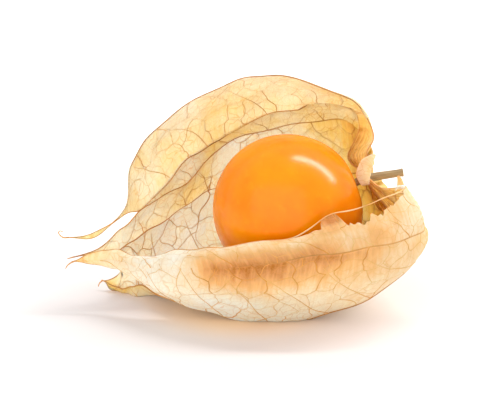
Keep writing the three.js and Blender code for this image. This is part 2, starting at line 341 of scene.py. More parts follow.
def ring_point(degrees):
    """The point of the ring round the stalk at an angle from the top towards the front."""
    top = unit(np.cross([0, -1, 0], stalk_axis))
    side = unit(np.cross(stalk_axis, top))
    angle = math.radians(degrees)
    return STALK_RING + RING_RADIUS * (math.cos(angle) * top + math.sin(angle) * side)


def seam(name, place):
    """The rib whose line this rib runs on at a place counted in points from the ring."""
    rib = RIBS[name]
    return rib["follows"] if "follows" in rib and place <= rib["parts"] else name


def in_frame(points):
    """Points given in mm before SHIFT, in the frame."""
    return (np.array(points, float) + SHIFT) * MM


def rib_points(name):
    """All the points of a rib, from the ring to its tip."""
    rib = RIBS[name]
    base = RIBS[rib["follows"]] if "follows" in rib else rib
    own = (base["points"][:rib["parts"]] if "follows" in rib else []) + rib["points"]
    return np.vstack([ring_point(base["angle"]), in_frame(own)])


def smooth_line(points, places):
    """Places along the smooth curve through the points, counted in points."""
    p = np.vstack([2 * points[0] - points[1], points, 2 * points[-1] - points[-2]])
    k = np.clip(np.floor(places).astype(int), 0, len(points) - 2)
    t = (places - k)[:, None]
    a, b, c, d = p[k], p[k + 1], p[k + 2], p[k + 3]
    bend, twist = a - 2.5 * b + 2 * c - 0.5 * d, 0.5 * (d - a + 3 * (b - c))
    return b + 0.5 * t * (c - a) + t ** 2 * bend + t ** 3 * twist


def free_line(name, places):
    """The rib's line at those places, on the rib it follows as far as they are one."""
    line = smooth_line(rib_points(name), places)
    rib = RIBS[name]
    if "follows" in rib:
        shared = places <= rib["parts"]
        line[shared] = smooth_line(rib_points(rib["follows"]), places[shared])
    return line


def rib_line(name, places):
    """The rib's line in the paper, which draws in with the lobe's other ribs to a narrow tip."""
    lobe = next(lobe for lobe in LOBES if name in lobe)
    line = free_line(name, places)
    centre = np.mean([free_line(other, places) for other in lobe], axis=0)
    drawn_in = smoothstep(TIP_STARTS, 10, places)[:, None] * (1 - TIP_WIDTH_SHARE)
    turn = WOBBLE_TURN * list(RIBS).index(RIBS[name].get("follows", name))
    waves = np.sin(WOBBLE_RATES[0] * places + turn) + np.sin(WOBBLE_RATES[1] * places + 2 * turn)
    wobble = RIB_WOBBLE * smoothstep(*WOBBLE_RISES, places) * (1 - smoothstep(*WOBBLE_FADES, places)) * waves
    return line + (centre - line) * drawn_in + np.array([0, 1, 1]) * wobble[:, None]


# The front rib is stripped bare near the stalk, so it is a loose thread, and the thin paper under it is torn
# away in a ragged line. Pairs of the place along the rib and, in mm, how far the thread has lifted, and how
# deep the tear is: below 0, a scrap of the paper has gone up with the thread.
THREAD = [(2.9, 0), (3.25, 0.6), (3.5, 1.3), (3.62, 1.05), (3.7, 0.7), (3.9, 0.3), (4.1, 0)]
TEAR = [(2.2, 0), (2.33, 0.7), (2.6, 1.1), (2.8, 1.3), (2.86, 1.7), (3.0, 1.4), (3.06, 1.6), (3.2, 1.25),
        (3.3, 1.2), (3.34, 0.8), (3.37, 1.2), (3.4, 0.2), (3.44, -0.9), (3.47, -1.2), (3.52, -1.25),
        (3.6, -0.95), (3.66, -0.6), (3.69, 0.4), (3.71, 0.8), (3.74, 0.2), (3.79, 0), (3.85, 0.25),
        (3.95, 0.1), (4.1, 0)]
# At the top the edge dips behind the ear by the stalk, and towards the tip a ragged fringe stands beyond it.
RIM_DIP = [(3, 0), (3.3, -0.3), (3.55, -0.45), (3.8, -0.2), (4, 0)]
FRINGE = [(2.4, 0), (2.6, 0.15), (2.9, 0), (6.9, 0), (7.2, 0.3), (7.7, 0.6), (8.1, 0.25), (8.4, 0)]
# Torn edges vary by RAGGED_SHARE of their depth from row to row, rounded over RAGGED_REACH rows, and the
# thread's bends are rounded over THREAD_SLACK_ROWS.
RAGGED_SEED = 5
RAGGED_SHARE, RAGGED_REACH = 0.45, 1
THREAD_SLACK_ROWS = 6

# The roof rib is creased where the sepal above it was pulled over the one below, from a sudden stop above
# the berry to the notch where the lobes part. Pairs of the place along it and its depth in mm, and how many
# mm the crease takes to fade on each side.
CREASE = [(3.6, 0), (3.75, 0.6), (4.5, 0.35), (4.8, 0.35), (5, 0.6), (6.4, 0.6), (7, 0)]
CREASE_SOFT_SIDE = 1.2
CREASE_SHARP_SIDE = 0.15


def torn_shares(panel, rows, share, width):
    """The shares across a panel once its torn edge, if it has one, is ragged."""
    draw = random.Random(RAGGED_SEED)
    rough = softened(np.array([1 + draw.uniform(-RAGGED_SHARE, RAGGED_SHARE) for _ in rows]), RAGGED_REACH)
    if panel["from"] == "torn_front":
        return share + (1 - share) * (steps(rows, TEAR) * rough * MM / width)[:, None]
    if panel["to"] == "torn_top":
        return share * (1 + (steps(rows, RIM_DIP) + steps(rows, FRINGE) * rough) * MM / width)[:, None]
    return share


def crease_depth(panel, rows, share, width):
    """How deep the panel sinks into the crease along the roof rib."""
    if panel["from"] == "roof":
        from_roof, side = share, CREASE_SOFT_SIDE
    elif panel["to"] == "roof":
        from_roof, side = 1 - share, CREASE_SHARP_SIDE
    else:
        return 0
    return MM * steps(rows, CREASE)[:, None] * np.exp(-from_roof * width[:, None] / (side * MM))


def colour_and_shade_depth(panel, rows, share):
    """How deep the panel's colour is, painted shade included, between its three columns of depths, or the one
    of an even row.
    """
    first, mid, last = (steps(rows, [(row[0], row[min(k, len(row) - 1)]) for row in panel["amber"]])[:, None]
                        for k in (1, 2, 3))
    return np.where(share < 0.5, first + (mid - first) * 2 * share, mid + (last - mid) * (2 * share - 1))


def panel_sheet(panel):
    """The panel as a grid: points, leaf map in mm, places along, shares across, pleats, slack, and colour
    with painted shade.
    """
    rows = ROW_PLACES[ROW_PLACES <= panel["last"]]
    a = rib_line(panel["from"], rows)
    b = rib_line(panel["to"], rows)
    width = np.linalg.norm(b - a, axis=1)
    across = np.arange(panel["columns"] + 1) / panel["columns"]
    share = torn_shares(panel, rows, np.repeat(across[None, :], len(rows), 0), width)
    thread = a - (b - a) * (softened(steps(rows, THREAD), THREAD_SLACK_ROWS) * MM / width)[:, None]
    rim = b + (b - a) * (steps(rows, RIM_DIP) * MM / width)[:, None]
    spans = len(rib_points(panel["from"])) - 1
    fade = np.sin(np.pi * np.minimum(1, rows / (spans - 1)))
    hump = 4 * np.maximum(share, 0) * np.maximum(1 - share, 0)
    lift = panel["bulge"] * MM * fade[:, None] * hump - crease_depth(panel, rows, share, width)
    forward = unit(np.gradient(a, axis=0)) + unit(np.gradient(b, axis=0))
    outward = unit(np.cross(forward, b - a))
    grid = a[:, None] + (b - a)[:, None] * share[..., None] + outward[:, None] * lift[..., None]
    grid[..., 2] = np.maximum(grid[..., 2], 0)
    middle = (a + b) / 2
    length = np.concatenate([[0], np.cumsum(np.linalg.norm(np.diff(middle, axis=0), axis=1))]) / MM
    leaf = np.stack([(share - 0.5) * width[:, None] / MM, np.repeat(length[:, None], len(across), 1)], -1)
    room = np.minimum(1, width / (panel["pleats"] * PLEAT_ROOM))
    pleat = np.sin(2 * np.pi * panel["pleats"] * share) * (1 - smoothstep(*PLEATS_FADE, rows))[:, None]
    pleat = pleat * (smoothstep(*PLEATS_RISE, rows) * room)[:, None]
    slack = smoothstep(*SLACK_RISES, rows)[:, None] * (1 - smoothstep(*SLACK_FADES, rows))[:, None]
    browner = smoothstep(*BROWNER_FROM, rows)[:, None] * (panel["from"] in LOBES[0])
    return {"grid": grid, "leaf": leaf, "rows": rows, "share": share, "pleat": pleat,
            "slack": np.clip(hump, 0, 1) * slack, "amber": colour_and_shade_depth(panel, rows, share),
            "brown": browner + 0 * share, "torn_front": thread, "torn_top": rim}


SCRAP_ROWS, SCRAP_COLUMNS = 25, 9
SCRAP_LEAF_LENGTH = 10
SCRAP_SLACK = 0.3


def scrap_sheet(points, half_widths, side, curl, amber):
    """A torn scrap as a grid: a strip along a line, bent across by `curl` mm at its edges."""
    rows = np.linspace(0, len(points) - 1, SCRAP_ROWS)
    across = np.linspace(-1, 1, SCRAP_COLUMNS)
    line = smooth_line(in_frame(points), rows)
    forward = unit(np.gradient(line, axis=0))
    sideways = unit(np.array(side, float) - forward * (forward @ np.array(side, float))[:, None])
    half = np.interp(rows, range(len(half_widths)), half_widths)[:, None] * MM
    outward = np.cross(forward, sideways)
    grid = line[:, None] + sideways[:, None] * (half * across)[..., None]
    grid = grid + outward[:, None] * (curl * MM * (half / half.max()) * across ** 2)[..., None]
    flat = np.ones_like(half * across)
    leaf = np.stack([half * across / MM, np.linspace(0, SCRAP_LEAF_LENGTH, len(rows))[:, None] * flat], -1)
    return {"grid": grid, "leaf": leaf, "rows": rows, "share": flat, "pleat": 0 * flat,
            "slack": SCRAP_SLACK * flat, "amber": amber * flat, "brown": flat}


# Scraps of the torn sepals that still stand on the ring and on the rim: the line that each follows in mm,
# its half widths there, the way its width lies, how far its edges curl, and how deep its colour is.
SCRAPS = [
    ([[15.3, -0.4, 15.9], [15, -0.5, 17.4], [15.4, -0.6, 18.9], [16.4, -0.6, 20]], [0.45, 0.9, 0.8, 0.16],
     (0.8, 0, -0.6), -0.35, 0.4),
    ([[19.3, -4.9, 17.3], [19.2, -4.7, 17.9], [19, -4.5, 18.4]], [0.42, 0.28, 0.1], (1, -0.3, 0), 0.1, 0.6),
    ([[20, -5.8, 16.9], [19.5, -5.6, 17.25], [18.9, -5.4, 17.2], [18.6, -5.3, 16.8]], [0.3, 0.25, 0.3, 0.04],
     (0.3, -0.8, 0.6), 0.15, 0.0),
    ([[9.6, -11.1, 13], [9.95, -11.3, 13.6], [10.5, -11.3, 14]], [0.1, 0.2, 0.04], (0.6, 0, -0.8), 0.12, 0.0),
]


# The leaf map has all the panels and scraps laid flat side by side in rows, LEAF_SPAN mm to one UV unit.
LEAF_SPAN = 200.0
LEAVES_IN_A_ROW = 7
LEAF_WIDTH, LEAF_HEIGHT, LEAF_FOOT = 25.0, 80.0, 5.0


def leaf_uv(leaf, number):
    """A place on a panel's leaf map, in mm from its foot, as a UV."""
    row, column = divmod(number, LEAVES_IN_A_ROW)
    return (leaf + np.array([LEAF_WIDTH * (column + 0.5), LEAF_FOOT + LEAF_HEIGHT * row])) / LEAF_SPAN


def build_sheet():
    """All the panels and scraps as one mesh, where neighbours share the points of their rib."""
    points, faces, uvs = [], [], []
    marks = {"pleat": [], "slack": [], "amber": [], "brown": []}
    rib_keys = {}
    for number, sheet in enumerate(sheets):
        panel = PANELS[number] if number < len(PANELS) else {}
        share = sheet["share"]
        uv = leaf_uv(sheet["leaf"], number)
        index = np.zeros(share.shape, int)
        last_column = share.shape[1] - 1
        for i, row in enumerate(sheet["rows"]):
            for j in range(last_column + 1):
                rib = {0: panel.get("from"), last_column: panel.get("to")}.get(j)
                key = rib and (seam(rib, row), i)
                if key in rib_keys:
                    index[i, j] = rib_keys[key]
                    continue
                index[i, j] = len(points)
                points.append(sheet["grid"][i, j])
                for mark, values in marks.items():
                    values.append(sheet[mark][i, j])
                if key:
                    rib_keys[key] = index[i, j]
        for i in range(len(sheet["rows"]) - 1):
            for j in range(last_column):
                corners = [(i, j), (i + 1, j), (i + 1, j + 1), (i, j + 1)]
                faces.append([int(index[c]) for c in corners])
                uvs.extend(uv[c] for c in corners)
    mesh = bpy.data.meshes.new("husk_sheet")
    mesh.from_pydata([tuple(p) for p in points], [], faces)
    mesh.uv_layers.new(name="leaf").data.foreach_set("uv", np.array(uvs).ravel())
    for mark, values in marks.items():
        mesh.attributes.new(mark, "FLOAT", "POINT").data.foreach_set("value", values)
    return mesh, rib_keys


sheets = [panel_sheet(panel) for panel in PANELS] + [scrap_sheet(*scrap) for scrap in SCRAPS]
sheet_mesh, rib_keys = build_sheet()


def attribute(tree, name):
    """A mark on the mesh, as a material reads it."""
    return add(tree, "ShaderNodeAttribute", attribute_name=name).outputs["Fac"]


def ramp(tree, value, stops):
    """The colour at a value, among stops given as {place: hex colour} from 0 to 1."""
    scale = add(tree, "ShaderNodeValToRGB", {"Fac": value})
    for place in list(stops)[1:-1]:
        scale.color_ramp.elements.new(place)
    for element, colour in zip(scale.color_ramp.elements, stops.values()):
        element.color = linear(colour)
    return scale.outputs["Color"]


# Dried sepal tissue, about as thick as tissue paper: matt, straw coloured, with a fine net of veins. Light
# scatters right through it, so it glows where the light is behind it and takes up the berry's orange.
# Sizes in mm over LEAF_SPAN are lengths on the leaf map. NETS has the mesh size of the wide net and of the
# fine one, and where the edge of a thread fades in shares of a mesh. The shares are how strongly they show.
NETS = [(1.2 / LEAF_SPAN, (0.02, 0.08)), (0.45 / LEAF_SPAN, (0.03, 0.2))]
NET_WANDER, WANDER_SIZE = 2.4 / LEAF_SPAN, 2.2222 / LEAF_SPAN
PATCH_SIZE, PATCH_EDGES, PATCH_SHARES = 4.4444 / LEAF_SPAN, (0.38, 0.62), (0.1, 0.42)
FINE_NET_SHARE = 0.14
CRIMP_SIZE, CRIMP_STRETCH, CRIMP_TONES = 0.55 / LEAF_SPAN, (0.12, 1, 1), (-0.12, 0.12)
BLOTCH_SIZE, BLOTCH_TONES = 4.762 * MM, (-0.12, 0.12)
# The fold tone below is painted light and shade on the folds that fan from the ring: the paper is lighter
# along one side of each fold and deeper along the other.
FOLD_LIGHT_AND_SHADE = -0.34
husk_paper, tree, shader = new_material("dry_calyx_paper")
leaf_map = add(tree, "ShaderNodeUVMap", uv_map="leaf")
place = add(tree, "ShaderNodeTexCoord").outputs["Object"]
amber = attribute(tree, "amber")
wander = add(tree, "ShaderNodeTexNoise", {"Vector": leaf_map, "Scale": 1 / WANDER_SIZE, "Detail": 2})
bent_map = vectors(tree, "ADD", leaf_map, scaled(tree, wander.outputs["Color"], NET_WANDER))
nets = []
for mesh_size, edges in NETS:
    net = add(tree, "ShaderNodeTexVoronoi", {"Vector": bent_map, "Scale": 1 / mesh_size},
              feature="DISTANCE_TO_EDGE", voronoi_dimensions="2D")
    nets.append(spread(tree, net, edges, (1, 0)))
patches = spread(tree, noise(tree, leaf_map, PATCH_SIZE, 1), PATCH_EDGES, PATCH_SHARES)
folds = maths(tree, "MULTIPLY", attribute(tree, "pleat"), FOLD_LIGHT_AND_SHADE)
crimp_map = add(tree, "ShaderNodeMapping", {"Vector": leaf_map, "Scale": CRIMP_STRETCH})
crimps = noise(tree, crimp_map, CRIMP_SIZE, 3, 0.6)
crimp_tone = maths(tree, "MULTIPLY", spread(tree, crimps, CLOUDY, CRIMP_TONES), amber)
blotches = spread(tree, noise(tree, place, BLOTCH_SIZE, 3, 0.6), CLOUDY, BLOTCH_TONES)
# The tone starts from the paper's depth of colour, painted shade included. On the front lobe the browner ramp
# gives the painted shadow band along the front rib its brown.
creased = maths(tree, "ADD", maths(tree, "ADD", amber, folds), crimp_tone)
tone = maths(tree, "ADD", creased, blotches, use_clamp=True)
golden = ramp(tree, tone, {0: "#FFF8E2", 0.3: "#FBE0BC", 0.6: "#EFC070", 1: "#AE7810"})
browned = ramp(tree, tone, {0: "#FFF8E2", 0.3: "#FBDCBC", 0.6: "#EFB078", 1: "#A2641C"})
paper = blend(tree, attribute(tree, "brown"), golden, browned)
wide_share = maths(tree, "MULTIPLY", nets[0], patches)
fine_share = maths(tree, "MULTIPLY", nets[1], FINE_NET_SHARE)
veined = blend(tree, wide_share, paper, linear("#E3A257"))
tree.links.new(blend(tree, fine_share, veined, linear("#E8B06C")), shader.inputs["Base Color"])
relief = maths(tree, "ADD", maths(tree, "ADD", wide_share, fine_share), crimps)
roughen(tree, shader, relief, 0.5, 0.06 * MM)
shader.inputs["Roughness"].default_value = 0.6
shader.inputs["IOR"].default_value = 1.45
shader.inputs["Specular IOR Level"].default_value = 0.15
shader.inputs["Subsurface Weight"].default_value = 1.0
shader.inputs["Subsurface Radius"].default_value = (1.0, 0.85, 0.7)
shader.inputs["Subsurface Scale"].default_value = 0.4 * MM


def stored(tree, name, kind="FLOAT"):
    """A mark on the mesh, as a geometry tree reads it."""
    return add(tree, "GeometryNodeInputNamedAttribute", {"Name": name}, data_type=kind).outputs["Attribute"]


# The paper's surface: folds that fan out from the ring, soft and sharp crinkles, and nothing below the floor.
tree, given = new_rule("crinkled_paper", {
    "Geometry": "Geometry", "Pleat Depth": "Float", "Crinkle Depth": "Float", "Crinkle Size": "Float",
    "Fine Depth": "Float", "Fine Size": "Float", "Paper": "Material"})
here = add(tree, "GeometryNodeInputPosition")
normal = add(tree, "GeometryNodeInputNormal")
slack = stored(tree, "slack")
lift = maths(tree, "MULTIPLY", stored(tree, "pleat"), given["Pleat Depth"])
for size, deep in (("Crinkle Size", "Crinkle Depth"), ("Fine Size", "Fine Depth")):
    per_metre = maths(tree, "DIVIDE", 1.0, given[size])
    waves = add(tree, "ShaderNodeTexNoise", {"Vector": here, "Scale": per_metre, "Detail": 2})
    crinkle = maths(tree, "MULTIPLY", maths(tree, "SUBTRACT", waves, 0.5), given[deep])
    lift = maths(tree, "ADD", lift, maths(tree, "MULTIPLY", crinkle, slack))
moved = vectors(tree, "ADD", here, scaled(tree, normal, lift))
floored = vectors(tree, "MAXIMUM", moved, (-1, -1, 0))
crinkled = add(tree, "GeometryNodeSetPosition", {"Geometry": given["Geometry"], "Position": floored})
end_rule(tree, crinkled, given["Paper"])

husk = grow("papery_husk", tree, {
    "Pleat Depth": 0.22 * MM, "Crinkle Depth": 1.2 * MM, "Crinkle Size": 6.5 * MM,
    "Fine Depth": 0.25 * MM, "Fine Size": 1.8 * MM, "Paper": husk_paper}, sheet_mesh)
thin_sheet = bpy.data.objects.new("thin_sheet", husk.data.copy())
PAPER_WALL = 0.08 * MM
wall = husk.modifiers.new("paper_wall", "SOLIDIFY")
wall.thickness = PAPER_WALL
wall.offset = -1
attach(husk, "root")
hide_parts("husk")


# ---- Ribs and veins ----
# The husk's woody ribs, each sepal's own and the seams between them, and the veins that branch from them and
# join in a loose net. All stand a little proud of the paper on both sides, and are browner and stiffer.

MOTTLE_SIZE = 2.381 * MM


def calyx_fibre(name, colours, mottling):
    """A satin brown fibre whose colour runs over three by its `shade`: returns the material's parts too."""
    material, tree, shader = new_material(name)
    place = add(tree, "ShaderNodeTexCoord").outputs["Object"]
    mottle = noise(tree, place, MOTTLE_SIZE, 3)
    uneven = spread(tree, mottle, CLOUDY, (-mottling, mottling))
    tone = maths(tree, "ADD", attribute(tree, "shade"), uneven, use_clamp=True)
    tree.links.new(ramp(tree, tone, dict(zip((0, 0.5, 1), colours))), shader.inputs["Base Color"])
    shader.inputs["Roughness"].default_value = 0.6
    return material, tree, shader, mottle


# Lignified vein tissue, dried: satin, from the cream of a stripped thread to dull olive brown, with a
# lengthwise grain too fine to show. Each cord's own `shade` says which.
rib_wood, tree, shader, mottle = calyx_fibre("dry_calyx_rib", ("#F6DCA8", "#E09C4C", "#9C6A30"), 0.12)
roughen(tree, shader, mottle, 0.4, 0.05 * MM)

# The lesser veins: the same tissue in threads of a tenth of a millimetre, straw to warm brown by `shade`.
vein_fibre, tree, shader, mottle = calyx_fibre("dry_calyx_vein", ("#F4CE8E", "#DF9A44", "#A65C1C"), 0.15)
shader.inputs["Specular IOR Level"].default_value = 0.35

# Lines become cords as thick as their own half_width says. Flat lines are first laid on the sheet by its
# leaf map, and set into the paper by half its wall.
LOWEST_VEIN = 0.13 * MM
tree, given = new_rule("cords_on_the_sheet", {
    "Geometry": "Geometry", "Sheet": "Object", "Flat": "Bool", "Set In": "Float", "Amber And Shade Share": "Float",
    "Sides": "Int", "Fibre": "Material"})
sheet = add(tree, "GeometryNodeObjectInfo", {"Object": given["Sheet"]}).outputs["Geometry"]
here = add(tree, "GeometryNodeInputPosition")
leaf = stored(tree, "leaf", "FLOAT_VECTOR")
normal = add(tree, "GeometryNodeInputNormal")


def on_sheet(value, kind="FLOAT_VECTOR"):
    """What the sheet has at each flat line's place on its leaf map."""
    return add(tree, "GeometryNodeSampleUVSurface", {
        "Mesh": sheet, "Value": value, "UV Map": leaf, "Sample UV": here}, data_type=kind).outputs


laid_place = on_sheet(here)
inward = maths(tree, "MULTIPLY", given["Set In"], -1.0)
sunk = vectors(tree, "ADD", laid_place["Value"], scaled(tree, on_sheet(normal)["Value"], inward))
raised = vectors(tree, "MAXIMUM", sunk, (-1, -1, LOWEST_VEIN))
off_sheet = add(tree, "FunctionNodeBooleanMath", {0: laid_place["Is Valid"]}, operation="NOT")
kept = add(tree, "GeometryNodeDeleteGeometry", {"Geometry": given["Geometry"], "Selection": off_sheet})
# Laid veins take a share of the paper's depth of colour into their own shade, so they deepen with it, in its
# painted shade bands too.
depth = on_sheet(stored(tree, "amber"), "FLOAT")["Value"]
browned = maths(tree, "ADD", stored(tree, "shade"), maths(tree, "MULTIPLY", depth, given["Amber And Shade Share"]))
shaded = add(tree, "GeometryNodeStoreNamedAttribute", {
    "Geometry": kept, "Name": "shade", "Value": browned}, data_type="FLOAT", domain="POINT")
laid = add(tree, "GeometryNodeSetPosition", {"Geometry": shaded, "Position": raised})
chosen = add(tree, "GeometryNodeSwitch", {
    "Switch": given["Flat"], "False": given["Geometry"], "True": laid}, input_type="GEOMETRY")
lines = add(tree, "GeometryNodeMeshToCurve", {"Mesh": chosen})
section = add(tree, "GeometryNodeCurvePrimitiveCircle", {"Resolution": given["Sides"], "Radius": 1.0})
cords = add(tree, "GeometryNodeCurveToMesh", {
    "Curve": lines, "Profile Curve": section, "Scale": stored(tree, "half_width"), "Fill Caps": True})
end_rule(tree, cords, given["Fibre"])
cord_tree = tree


def line_mesh(name, strands):
    """A mesh of bare lines: each strand is (points, half widths, shades), in metres."""
    points, edges, widths, shades = [], [], [], []
    for strand, half, shade in strands:
        edges.extend((len(points) + k, len(points) + k + 1) for k in range(len(strand) - 1))
        points.extend(tuple(p) for p in strand)
        widths.extend(half)
        shades.extend(shade)
    mesh = bpy.data.meshes.new(name)
    mesh.from_pydata(points, edges, [])
    for mark, values in (("half_width", widths), ("shade", shades)):
        mesh.attributes.new(mark, "FLOAT", "POINT").data.foreach_set("value", [float(v) for v in values])
    return mesh


# How thick and how brown each rib is: rows of the place counted in points, the half width in mm, and the
# shade from cream at 0 to olive brown at 1.
RIB_CORDS = {
    "torn_front": [(0, 0.16, 0.5), (1, 0.08, 0.3), (2, 0.06, 0.25), (2.6, 0.08, 0.25), (3, 0.055, 0.4),
                   (3.3, 0.085, 0.12), (3.5, 0.06, 0.4), (3.8, 0.085, 0.2), (4.3, 0.07, 0.35),
                   (4.8, 0.07, 0.4), (5.3, 0.09, 0.7), (7, 0.06, 0.7), (9, 0.05, 0.7), (10, 0.05, 0.9)],
    "front": [(0, 0.16, 0.5), (1.5, 0.1, 0.6), (3.5, 0.1, 0.65), (4.1, 0.08, 0.8), (4.5, 0.05, 0.8),
              (5.3, 0.04, 0.8), (5.9, 0.04, 0.4), (10, 0.04, 0.6)],
    "keel": [(0, 0.16, 0.5), (1.6, 0.15, 0.8), (3.8, 0.15, 0.8), (5, 0.08, 0.7), (7, 0.06, 0.5),
             (10, 0.05, 0.7)],
    "bottom_lobe_front": [(6, 0.1, 0.6), (9, 0.08, 0.8), (10, 0.05, 0.8)],
    "bottom": [(0, 0.16, 0.5), (2, 0.12, 0.5), (7, 0.1, 0.5), (10, 0.05, 0.7)],
    "bottom_lobe_back": [(8, 0.09, 0.6), (9, 0.08, 0.8), (10, 0.05, 0.8)],
    "low_back": [(0, 0.16, 0.5), (2, 0.1, 0.5), (4, 0.06, 0.5), (6.2, 0.06, 0.5), (6.8, 0.09, 0.6),
                 (10, 0.06, 0.9)],
    "high_back": [(0, 0.16, 0.5), (1.6, 0.06, 0.5), (2.8, 0.05, 0.5), (3.1, 0.08, 0.5), (6, 0.08, 0.55),
                  (7, 0.08, 0.6), (10, 0.06, 0.9)],
    "roof": [(0, 0.14, 0.5), (1.5, 0.06, 0.5), (3.6, 0.04, 0.5), (3.68, 0.11, 0.9), (3.8, 0.07, 0.7),
             (4.4, 0.07, 0.6), (4.6, 0.04, 0.5), (4.8, 0.04, 0.6), (4.95, 0.08, 0.9), (6, 0.08, 0.8),
             (7, 0.07, 0.6), (10, 0.06, 0.6)],
    "torn_top": [(0, 0.14, 0.5), (2, 0.07, 0.6), (2.9, 0.09, 0.9), (3.3, 0.09, 0.9), (5, 0.07, 0.85),
                 (7.3, 0.08, 0.9), (8.5, 0.07, 0.6), (10, 0.07, 0.7)],
}
sheet_points = np.array([v.co for v in thin_sheet.data.vertices])
sheet_normals = np.array([v.normal for v in thin_sheet.data.vertices])
rib_strands = []
for name, cord in RIB_CORDS.items():
    rows = [row for row, place in enumerate(ROW_PLACES)
            if place >= RIBS[name].get("parts", 0) and (name, row) in rib_keys]
    places = ROW_PLACES[rows]
    if name in ("torn_front", "torn_top"):
        line = sheets[0 if name == "torn_front" else len(PANELS) - 1][name]
    else:
        keys = [rib_keys[name, row] for row in rows]
        line = sheet_points[keys] - sheet_normals[keys] * PAPER_WALL / 2
    half, shade = (steps(places, [(row[0], row[k]) for row in cord]) for k in (1, 2))
    line[:, 2] = np.maximum(line[:, 2], half * MM)
    rib_strands.append((line, half * MM, shade))

# The ribs' free ends run on beyond the paper as fine curled hairs: their points in mm.
TIP_HAIRS = [
    [[-21.7, -0.8, 9.2], [-22.3, -0.8, 9.15], [-22.7, -0.85, 9.4], [-22.95, -0.9, 9.8], [-22.8, -0.95, 10.1],
     [-22.4, -1, 10]],
    [[-21.1, -0.45, 6.5], [-21.65, -0.5, 6.35], [-22, -0.6, 6.3]],
    [[-20.9, -2, 6.5], [-21.5, -2, 6.2], [-21.9, -2, 5.85], [-22.1, -2.1, 5.5]],
    [[-18, 5.2, 1.3], [-18.3, 5.2, 1.05], [-18.5, 5.2, 0.8], [-18.6, 5.1, 0.45]],
]
HAIR_PARTS = 16
HAIR_HALF_WIDTHS = (0.1, 0.05)
HAIR_SHADE = 0.7
for hair in TIP_HAIRS:
    places = np.linspace(0, len(hair) - 1, HAIR_PARTS)
    half = np.linspace(*HAIR_HALF_WIDTHS, HAIR_PARTS)
    rib_strands.append((smooth_line(in_frame(hair), places), half * MM, [HAIR_SHADE] * HAIR_PARTS))
ribs = grow("husk_ribs", cord_tree, {
    "Sheet": thin_sheet, "Flat": False, "Set In": 0.0, "Amber And Shade Share": 0.0, "Sides": 8, "Fibre": rib_wood},
    line_mesh("rib_lines", rib_strands))
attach(ribs, "root")
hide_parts("husk")

# The veins of one panel: the walls between scattered cells make a net, and each stretch of it is as thick as
# the number of cells that it drains on the shortest way to a rib asks for. Sizes in mm.
VEIN_CELL = (2.3, 3.2)
VEIN_HALF_WIDTHS = (0.047, 0.1)
FLOW_GAIN, FLOW_POWER = 0.008, 0.75
CELL_JITTER = 0.48
CELL_COLUMNS = 6
CELL_LEAN = 0.5
DROPPED_SHARE = 0.16
EDGE_MARGIN = 0.3
CUT_STEPS = 12
PATH_LUCK = (0.7, 1.4)
VEIN_STEP = 0.45
BOW, WAVE = 0.14, 0.07


def cell_walls(length, draw):
    """The corners of the cells scattered over a panel, and the pairs of them that a cell wall joins."""
    wide, tall = VEIN_CELL
    seeds = []
    for i in range(-CELL_COLUMNS, CELL_COLUMNS + 1):
        for j in range(-2, int(length / tall) + 3):
            lean = CELL_LEAN * abs(i) * wide
            if draw.random() > DROPPED_SHARE:
                seeds.append(((i + draw.uniform(-CELL_JITTER, CELL_JITTER)) * wide,
                              (j + 0.5 * (i % 2) + draw.uniform(-CELL_JITTER, CELL_JITTER)) * tall + lean))
    flat, _, triangles, *_ = delaunay_2d_cdt([Vector(s) for s in seeds], [], [], 0, 1e-6)
    corners, sides = [], {}
    for k, triangle in enumerate(triangles):
        a, b, c = (np.array(flat[i], float) for i in triangle)
        corners.append(np.linalg.solve(2 * np.array([b - a, c - a]), [b @ b - a @ a, c @ c - a @ a]))
        for i in (1, 2, 0):
            sides.setdefault(tuple(sorted((triangle[i - 1], triangle[i]))), []).append(k)
    return corners, [pair for pair in sides.values() if len(pair) == 2]


def shortest_ways(nodes, links, roots, draw):
    """The order in which the nodes are reached from the roots, and the node that each is reached from."""
    cost = {root: 0.0 for root in roots}
    parent, order, front = {}, [], sorted((0.0, root) for root in roots)
    done = set()
    while front:
        spent, k = front.pop(0)
        if k in done:
            continue
        done.add(k)
        order.append(k)
        for other in links[k]:
            reach = spent + float(np.linalg.norm(nodes[other] - nodes[k])) * draw.uniform(*PATH_LUCK)
            if other not in done and reach < cost.get(other, math.inf):
                cost[other] = reach
                parent[other] = k
                front.append((reach, other))
        front.sort()
    return order, parent


